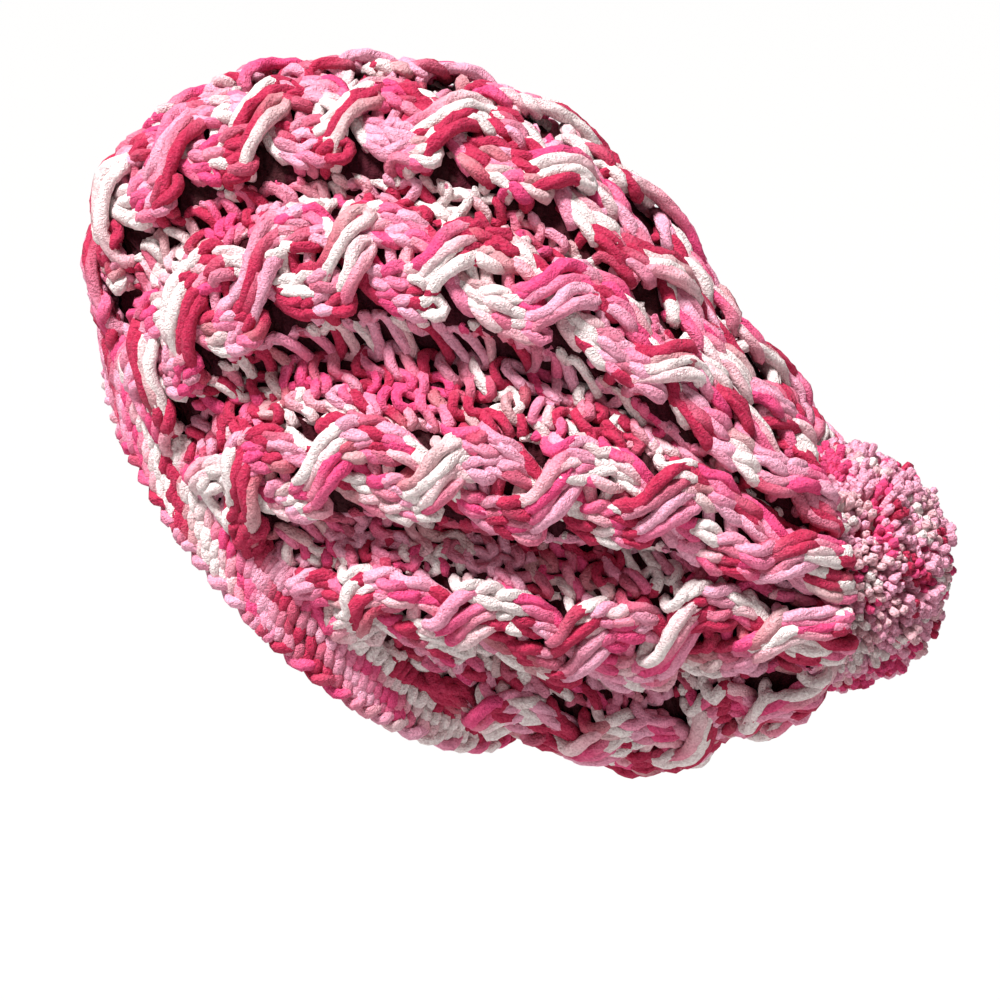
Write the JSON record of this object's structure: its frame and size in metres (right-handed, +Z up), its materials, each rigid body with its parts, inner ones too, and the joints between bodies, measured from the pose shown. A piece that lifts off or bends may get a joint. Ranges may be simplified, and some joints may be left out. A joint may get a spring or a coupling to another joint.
{
  "type": "slouchy cable knit beanie with pompom",
  "caption": "Slouchy hollow knit cap with rope cables running from a narrow brim band to a gathered crown with a yarn pompom.",
  "frame": {"origin": "middle of the brim opening, in the middle plane of the hat, where the head goes in", "axes": "+Z up as worn, -X is where the wearer faces, the middle plane is Y = 0, and the pompom is on the +X side"},
  "size_m": [0.332, 0.1944, 0.2867],
  "materials": {
    "band_knit": "soft variegated chunky yarn, mostly crimson, plain knit with a thick cast-on edge",
    "gore_knit": "soft variegated chunky yarn in crimson, hot pink, light pink and cream, reverse knit",
    "cable_knit": "soft variegated chunky yarn in crimson, hot pink, light pink and cream, rope cables",
    "pompom_yarn": "dense cut yarn ends, light pink with crimson and hot pink",
    "tie_yarn": "twisted crimson yarn"
  },
  "bodies": {
    "root": {"brim_band": "band_knit", "crown_body": "gore_knit", "crown_gather": "band_knit", "cable_1": "cable_knit", "cable_2": "cable_knit", "cable_3": "cable_knit", "cable_4": "cable_knit", "cable_5": "cable_knit", "cable_6": "cable_knit", "cable_7": "cable_knit", "cable_8": "cable_knit", "cable_9": "cable_knit", "cable_10": "cable_knit", "pompom_tie": "tie_yarn", "pompom": "pompom_yarn"}
  },
  "joints": []
}
